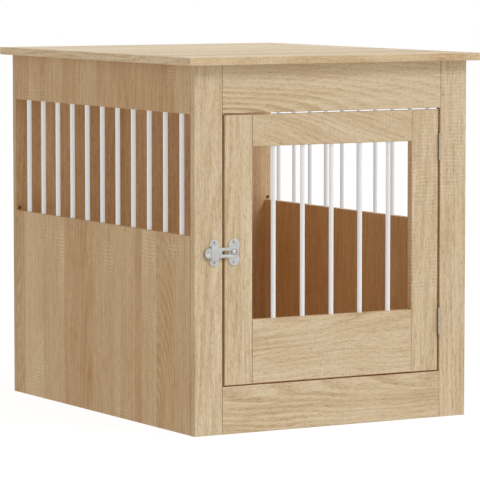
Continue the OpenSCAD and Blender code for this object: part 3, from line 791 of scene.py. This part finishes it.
@dataclass
class Bars:
    """The white steel bars of the side windows and the door."""

    chamfer: float = 0.8 * MM
    sides: int = 48

    def build(self) -> None:
        """Makes one piece for each row of bars."""
        coat = PowderCoat().material()
        for row, body in (("left", "cabinet"), ("right", "cabinet"), ("door", "door")):
            names = (n.name for n in bpy.data.objects if n.name.startswith(f"{row}_bar_"))
            nodes = sorted(names, key=lambda name: int(name.rsplit("_", 1)[1]))
            add_piece(f"{row}_bars", self.row(nodes, coat), body, coat, nodes)

    def row(self, nodes: list[str], coat: bpy.types.Material) -> bpy.types.Mesh:
        """Makes the mesh of one row.

        Args:
            nodes: The bars' CAD nodes in their order.
            coat: The bars' material.
        Returns:
            The row's mesh.
        """
        first_low, first_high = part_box(nodes[0])
        last_low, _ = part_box(nodes[-1])
        middle = (first_low + first_high) / 2
        pitch = (last_low - first_low) / (len(nodes) - 1)
        radius = (first_high.x - first_low.x) / 2
        length = first_high.z - first_low.z
        made = Pattern("bar_row", Count=len(nodes), Start=tuple(middle), Pitch=tuple(pitch),
                       Radius=radius, Length=length, Chamfer=self.chamfer, Sides=self.sides, Material=coat)
        g, given = made.graph, made.inputs
        line = g.add("MeshLine", mode="OFFSET", Count=given["Count"], Start_Location=given["Start"],
                     Offset=given["Pitch"])
        shank_length = g.add("ShaderNodeMath", given["Chamfer"], -2.0, given["Length"],
                             operation="MULTIPLY_ADD")
        half = g.add("ShaderNodeMath", shank_length, 0.5, operation="MULTIPLY")
        shank = g.add("MeshCylinder", fill_type="NONE", Vertices=given["Sides"], Radius=given["Radius"],
                      Depth=shank_length)
        narrow = g.add("ShaderNodeMath", given["Radius"], given["Chamfer"], operation="SUBTRACT")
        end = g.add("MeshCone", Vertices=given["Sides"], Radius_Top=narrow, Radius_Bottom=given["Radius"],
                    Depth=given["Chamfer"])
        end = g.add("DeleteGeometry", end, end.node.outputs["Bottom"], domain="FACE")
        upper = g.add("Transform", end, Translation=g.add("ShaderNodeCombineXYZ", 0.0, 0.0, half))
        lower = g.add("Transform", upper, Rotation=(math.pi, 0.0, 0.0))
        whole = g.add("JoinGeometry", shank)
        for part in (upper, lower):
            g.tree.links.new(part, whole.node.inputs[0])
        closed = g.add("MergeByDistance", whole, Distance=TOUCH)
        made.end(g.add("InstanceOnPoints", line, Instance=closed))
        return smooth(made.mesh(bpy.data.meshes.new("none")))


def lathe(name: str, profile: list[tuple[float, float]], steps: int = 40) -> bpy.types.Mesh:
    """Turns a profile about the Z axis into a closed mesh.

    Args:
        name: The mesh's name.
        profile: Radius and height from the lower end to the upper one, both ends on the axis.
        steps: Steps in a full turn.
    Returns:
        The turned mesh.
    """
    turns = [(math.cos(math.tau * k / steps), math.sin(math.tau * k / steps)) for k in range(steps)]
    points = [(0.0, 0.0, profile[0][1])]
    for radius, height in profile[1:-1]:
        points += [(radius * cos, radius * sin, height) for cos, sin in turns]
    points.append((0.0, 0.0, profile[-1][1]))
    top = len(points) - 1
    faces = []
    for k in range(steps):
        after = (k + 1) % steps
        faces.append((0, 1 + after, 1 + k))
        faces += [(low + k, low + after, low + steps + after, low + steps + k)
                  for low in range(1, top - steps, steps)]
        faces.append((top, top - steps + k, top - steps + after))
    mesh = bpy.data.meshes.new(name)
    mesh.from_pydata(points, [], faces)
    return mesh


def carve_cross(mesh: bpy.types.Mesh, span: float, width: float, depth: float) -> bpy.types.Object:
    """Cuts a tapered cross recess into the top of a mesh whose top is at Z = 0.

    Args:
        mesh: The turned mesh of a screw or a cam nut.
        span: Length of each bar of the cross at the top.
        width: Width of a bar at the top.
        depth: Depth of the recess.
    Returns:
        An object that holds the carved mesh, for a pattern to repeat.
    """
    corners = []
    for turn in range(4):
        cos, sin = math.cos(turn * math.pi / 2), math.sin(turn * math.pi / 2)
        for x, y in ((span / 2, -width / 2), (span / 2, width / 2), (width / 2, width / 2)):
            corners.append((x * cos - y * sin, x * sin + y * cos))
    shape = bmesh.new()
    # The cutter narrows to less than half at the bottom, and stands proud of the face
    rows = [[shape.verts.new((x * share, y * share, z)) for x, y in corners]
            for z, share in ((-depth, 0.45), (depth * 0.2, 1.1))]
    shape.faces.new(rows[0][::-1])
    shape.faces.new(rows[1])
    for i in range(len(corners)):
        after = (i + 1) % len(corners)
        shape.faces.new((rows[0][i], rows[0][after], rows[1][after], rows[1][i]))
    cutter_mesh = bpy.data.meshes.new("cross")
    shape.to_mesh(cutter_mesh)
    shape.free()
    cutter = placed("cross", cutter_mesh)
    carved = applied(mesh, "BOOLEAN", object=cutter, operation="DIFFERENCE")
    bpy.data.objects.remove(cutter)
    return bpy.data.objects.new(f"{mesh.name}_pattern", smooth(carved))


@dataclass(frozen=True)
class Fitting:
    """One small fitting read from the frame: the middle of its face, the way it looks and its length."""

    face: Vector
    facing: Vector
    length: float

    @staticmethod
    def all_of(node: str, slender: bool) -> list["Fitting"]:
        """Finds every fitting in a CAD node. A fitting's face has the most corners, those of its cross.

        Args:
            node: The CAD node.
            slender: True where a fitting is longest along its own axis, False where it is shortest.
        Returns:
            The fittings in the node's own order.
        """
        shape = bmesh.new()
        shape.from_mesh(bpy.data.objects[node].data)
        bmesh.ops.remove_doubles(shape, verts=shape.verts, dist=MERGE)
        left = set(shape.verts)
        found = []
        while left:
            island = {next(v for v in shape.verts if v in left)}
            front = list(island)
            while front:
                near = {e.other_vert(v) for v in front for e in v.link_edges} - island
                island |= near
                front = list(near)
            left -= island
            found.append(Fitting.from_corners([v.co.copy() for v in island], slender))
        shape.free()
        return found

    @staticmethod
    def from_corners(corners: list[Vector], slender: bool) -> "Fitting":
        """Reads one fitting from its corners.

        Args:
            corners: All its corners.
            slender: As in all_of.
        Returns:
            The fitting.
        """
        low = Vector(min(c[i] for c in corners) for i in range(3))
        high = Vector(max(c[i] for c in corners) for i in range(3))
        size = high - low
        axis = max(range(3), key=lambda i: size[i] if slender else -size[i])
        at_low = sum(c[axis] - low[axis] < TOUCH for c in corners)
        at_high = sum(high[axis] - c[axis] < TOUCH for c in corners)
        face = (low + high) / 2
        face[axis] = (high if at_high > at_low else low)[axis]
        facing = Vector((0.0, 0.0, 0.0))
        facing[axis] = 1.0 if at_high > at_low else -1.0
        return Fitting(face, facing, size[axis])


def repeat(name: str, original: bpy.types.Object, fittings: list[Fitting],
           material: bpy.types.Material) -> bpy.types.Mesh:
    """Puts a copy of an object on each fitting's place.

    Args:
        name: The pattern's name.
        original: The object to repeat, whose face is at Z = 0 and looks along +Z.
        fittings: Where the copies go.
        material: Their material.
    Returns:
        One mesh of them all.
    """
    made = Pattern(name, Original=original, Material=material)
    g, given = made.graph, made.inputs
    shape = g.add("ObjectInfo", given["Original"], out="Geometry")
    facing = g.add("InputNamedAttribute", "facing", data_type="FLOAT_VECTOR")
    turned = g.add("FunctionNodeAlignRotationToVector", None, None, facing, axis="Z")
    made.end(g.add("InstanceOnPoints", given["Geometry"], Instance=shape, Rotation=turned))
    return smooth(made.mesh(point_mesh([(f.face, f.facing) for f in fittings])))


@dataclass
class Screws:
    """Countersunk cross-head screws of the hinges, the latch and the rear panel.

    The cross recess is given in shares of the head's width.
    """

    small_head: float = 6.0 * MM
    small_shank: float = 3.0 * MM
    panel_head: float = 9.5 * MM
    panel_shank: float = 5.0 * MM
    cross_span: float = 0.58
    cross_width: float = 0.15

    def build(self) -> None:
        """Makes one piece for each CAD node of screws."""
        rows = (("frame_hardware_screws", "cabinet", self.small_head, self.small_shank),
                ("door_hardware_screws", "door", self.small_head, self.small_shank),
                ("panel_screws", "cabinet", self.panel_head, self.panel_shank))
        zinc = Metal.ZINC.material()
        for node, body, head, shank in rows:
            fittings = Fitting.all_of(node, True)
            original = self.screw(head, shank, fittings[0].length)
            mesh = repeat(node, original, fittings, zinc)
            add_piece(f"{node}_detailed", mesh, body, zinc, [node])

    def screw(self, head: float, shank: float, length: float) -> bpy.types.Object:
        """Makes one screw that points down from its face at Z = 0.

        Args:
            head: Diameter of the head.
            shank: Diameter over the thread.
            length: Whole length.
        Returns:
            An object for the pattern.
        """
        rim = 0.12 * head / 2
        sink = (head - shank) / 2
        profile = [(0.0, -length), (shank * 0.20, -length + shank * 0.5)]
        pitch = shank * 0.45
        root = shank * 0.36
        crest = shank * 0.50
        turns = int((length - sink - rim - shank) / pitch)
        for k in range(turns):
            height = -length + shank * 0.6 + k * pitch
            profile += [(root, height), (crest, height + pitch * 0.4), (root, height + pitch * 0.8)]
        profile += [(shank * 0.42, -sink - rim), (head / 2 - rim * 0.3, -rim), (head / 2, -rim * 0.6),
                    (head / 2 - rim * 0.5, 0.0), (0.0, 0.0)]
        return carve_cross(lathe("screw", profile, 32), head * self.cross_span, head * self.cross_width,
                           sink)


@dataclass
class CamNuts:
    """Die-cast cam nuts that pull the boards together, flush with the boards' inner faces.

    The raised ring, the dish inside it and the cross recess are given in shares of the nut's width.
    """

    across: float = 15.0 * MM
    rim: float = 0.5 * MM
    dish: float = 0.4 * MM
    recess: float = 4 * MM
    ring_within: float = 0.78
    dish_within: float = 0.74
    cross_span: float = 0.56
    cross_width: float = 0.13

    def build(self) -> None:
        """Makes one piece of all cam nuts."""
        cast = Metal.DIE_CAST.material()
        fittings = Fitting.all_of("cam_nuts", False)
        depth = fittings[0].length
        half = self.across / 2
        rim = self.rim
        profile = [(0.0, -depth), (half - rim, -depth), (half, -depth + rim), (half, -rim),
                   (half - rim * 0.4, -rim * 0.25), (half - rim, 0.0), (half * self.ring_within, 0.0),
                   (half * self.dish_within, -self.dish), (0.0, -self.dish)]
        original = carve_cross(lathe("cam_nut", profile), self.across * self.cross_span,
                               self.across * self.cross_width, self.recess)
        mesh = repeat("cam_nut_places", original, fittings, cast)
        add_piece("cam_nuts_detailed", mesh, "cabinet", cast, ["cam_nuts"])


@dataclass
class Hinges:
    """Two butt hinges, each with a leaf on the frame, a leaf on the door and a pin."""

    edge: float = 0.18 * MM

    def build(self) -> None:
        """Makes a detailed piece for each leaf and pin."""
        nickel = Metal.NICKEL.material()
        zinc = Metal.ZINC.material()
        for place in ("upper", "lower"):
            for leaf, body in (("frame_leaf", "cabinet"), ("door_leaf", "door")):
                node = f"{place}_hinge_{leaf}"
                mesh = softened(node, self.edge)
                add_piece(f"{node}_detailed", mesh, body, nickel, [node])
            node = f"{place}_hinge_pin"
            add_piece(f"{node}_detailed", self.pin(node), "cabinet", zinc, [node])

    def pin(self, node: str) -> bpy.types.Mesh:
        """Turns a pin with rounded ends.

        Args:
            node: The pin's CAD node.
        Returns:
            Its mesh in place.
        """
        low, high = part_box(node)
        radius = (high.x - low.x) / 2
        soft = radius * 0.35
        profile = [(0.0, low.z), (radius - soft, low.z), (radius - soft * 0.3, low.z + soft * 0.3),
                   (radius, low.z + soft), (radius, high.z - soft),
                   (radius - soft * 0.3, high.z - soft * 0.3), (radius - soft, high.z), (0.0, high.z)]
        mesh = lathe(node, profile, 32)
        middle = (low + high) / 2
        mesh.transform(Matrix.Translation((middle.x, middle.y, 0.0)))
        return smooth(mesh)


@dataclass
class Latch:
    """The flip latch: a keeper with its stud, a plate on the door, the arm and the domed rivet."""

    plate_edge: float = 0.30 * MM
    arm_edge: float = 0.55 * MM

    def build(self) -> None:
        """Makes a detailed piece for each part of the latch."""
        cast = Metal.DIE_CAST.material()
        for node, body, width in (("latch_keeper", "cabinet", self.plate_edge),
                                  ("latch_door_plate", "door", self.plate_edge),
                                  ("latch_arm", "latch", self.arm_edge),
                                  ("latch_rivet", "door", self.plate_edge)):
            add_piece(f"{node}_detailed", softened(node, width), body, cast, [node])


@dataclass(frozen=True)
class Beech:
    """Fluted beech dowels: pinkish tan wood with short darker flecks along the grain, quite matt.

    `flecks` is how many flecks there are to the metre, along each axis.
    """

    name: str = "beech_dowel"
    colour: str = "#D2AE86"
    fleck: str = "#A97C55"
    flecks: tuple[float, float, float] = (400.0, 900.0, 900.0)

    def material(self) -> bpy.types.Material:
        """Builds the finish.

        Returns:
            The material.
        """
        made, g = new_material(self.name)
        spot = g.add("TexCoord", out="Object")
        flecks = g.add("TexNoise", g.add("Mapping", spot, Scale=self.flecks), Scale=1.0, Detail=2.0)
        share = g.add("MapRange", flecks, 0.50, 0.75, 0.0, 0.7)
        colour = g.add("Mix", share, linear(self.colour), linear(self.fleck), data_type="RGBA")
        bump = g.add("Bump", Strength=0.3, Distance=0.2 * MM, Height=flecks)
        g.add("OutputMaterial", g.add("BsdfPrincipled", Base_Color=colour, Roughness=0.7, Normal=bump))
        return made


@dataclass
class Studio:
    """Plain pale floor, soft light and the camera."""

    lens: float = 249.5
    place: tuple[float, float, float] = (-3.322, -5.764, 0.907)
    yaw: float = 30.07
    pitch: float = 4.97
    far: float = 100.0
    key_strength: float = 1.5
    key_spread: float = 22.0
    key_from: tuple[float, float, float] = (0.45, -0.62, 0.80)
    fill: float = 0.63
    fill_tint: str = "#FFFAF1"
    glow: float = 0.6
    glow_tint: str = "#FFC896"
    glow_place: tuple[float, float, float] = (-0.18, 0.15, 0.36)
    glow_size: float = 0.15
    floor_reach: float = 8.0
    floor_drop: float = 0.2 * MM
    floor_white: float = 0.87
    floor_colour: str = "#EDE9E2"
    floor_tint: str = "#FFF9F0"
    floor_bounce: float = 0.80
    floor_seen: float = 1.08

    def build(self) -> None:
        """Sets up camera, lamp, world and floor."""
        scene = bpy.context.scene
        scene.view_settings.view_transform = "Standard"
        camera = placed("camera", bpy.data.cameras.new("camera"))
        camera.data.lens = self.lens
        camera.data.clip_end = self.far
        camera.location = self.place
        camera.rotation_euler = (math.radians(90 - self.pitch), 0.0, math.radians(-self.yaw))
        scene.camera = camera
        key = placed("key", bpy.data.lights.new("key", "SUN"))
        key.data.energy = self.key_strength
        key.data.angle = math.radians(self.key_spread)
        key.rotation_euler = Vector(self.key_from).to_track_quat("Z", "Y").to_euler()
        self.world()
        self.floor()

    def cabin_glow(self) -> None:
        """A soft orange lamp inside, unseen, for the even brown light that boards throw on each other.

        It lights neither the bars nor the floor.
        """
        lamp = placed("cabin_glow", bpy.data.lights.new("cabin_glow", "POINT"))
        lamp.location = self.glow_place
        lamp.data.shadow_soft_size = self.glow_size
        lamp.data.use_nodes = True
        g = Graph(lamp.data.node_tree, "ShaderNode")
        even = g.add("LightFalloff", self.glow, 0.0, out="Constant")
        g.add("OutputLight", g.add("Emission", linear(self.glow_tint), even))
        lamp.visible_camera = False
        lamp.visible_glossy = False
        lit = bpy.data.collections.new("lit_by_cabin_glow")
        for piece in bpy.data.objects:
            if piece.type == "MESH" and piece.name != "floor" and not piece.name.endswith("_bars"):
                lit.objects.link(piece)
        lamp.light_linking.receiver_collection = lit

    def world(self) -> None:
        """White to the eye and in reflections, a plain fill to everything else."""
        world = bpy.data.worlds.new("studio")
        bpy.context.scene.world = world
        world.use_nodes = True
        g = Graph(world.node_tree, "ShaderNode")
        seen = self.seen(g)
        colour = g.add("Mix", seen, linear(self.fill_tint), linear(WHITE), data_type="RGBA")
        strength = g.add("Mix", seen, self.fill, 1.0, data_type="FLOAT")
        g.add("OutputWorld", g.add("Background", colour, strength))

    def seen(self, g: Graph) -> Any:
        """A value that is 1 for the camera's own rays and for reflected and transmitted ones."""
        rays = g.add("LightPath").node.outputs
        some = g.add("Math", rays["Is Camera Ray"], rays["Is Glossy Ray"], operation="MAXIMUM")
        return g.add("Math", some, rays["Is Transmission Ray"], operation="MAXIMUM")

    def floor(self) -> None:
        """A pale floor that ends in white and keeps a soft shadow."""
        mesh = bpy.data.meshes.new("floor")
        corners = [(x * self.floor_reach, y * self.floor_reach, -self.floor_drop)
                   for x, y in ((-1, -1), (1, -1), (1, 1), (-1, 1))]
        mesh.from_pydata(corners, [], [(0, 1, 2, 3)])
        made, g = new_material("pale_floor")
        matt = g.add("BsdfDiffuse", linear(self.floor_colour))
        seen = self.seen(g)
        strength = g.add("Mix", seen, self.floor_bounce, self.floor_seen, data_type="FLOAT")
        colour = g.add("Mix", seen, linear(self.floor_tint), linear(WHITE), data_type="RGBA")
        white = g.add("Emission", colour, strength)
        g.add("OutputMaterial", g.add("MixShader", self.floor_white, matt, white))
        mesh.materials.append(made)
        placed("floor", mesh)


def main() -> None:
    """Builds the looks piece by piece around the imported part."""
    logging.basicConfig(level=logging.INFO, format="%(name)s %(message)s", stream=sys.stdout)
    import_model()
    studio = Studio()
    studio.build()
    Boards().dress()
    for assembly in (Bars(), Hinges(), Latch(), Screws(), CamNuts()):
        assembly.build()
    dress("cam_bolts", Metal.ZINC.material())
    beech = Beech().material()
    for node in ("body_dowels", "door_dowels"):
        dress(node, beech)
    studio.cabin_glow()


if __name__ == "__main__":
    main()
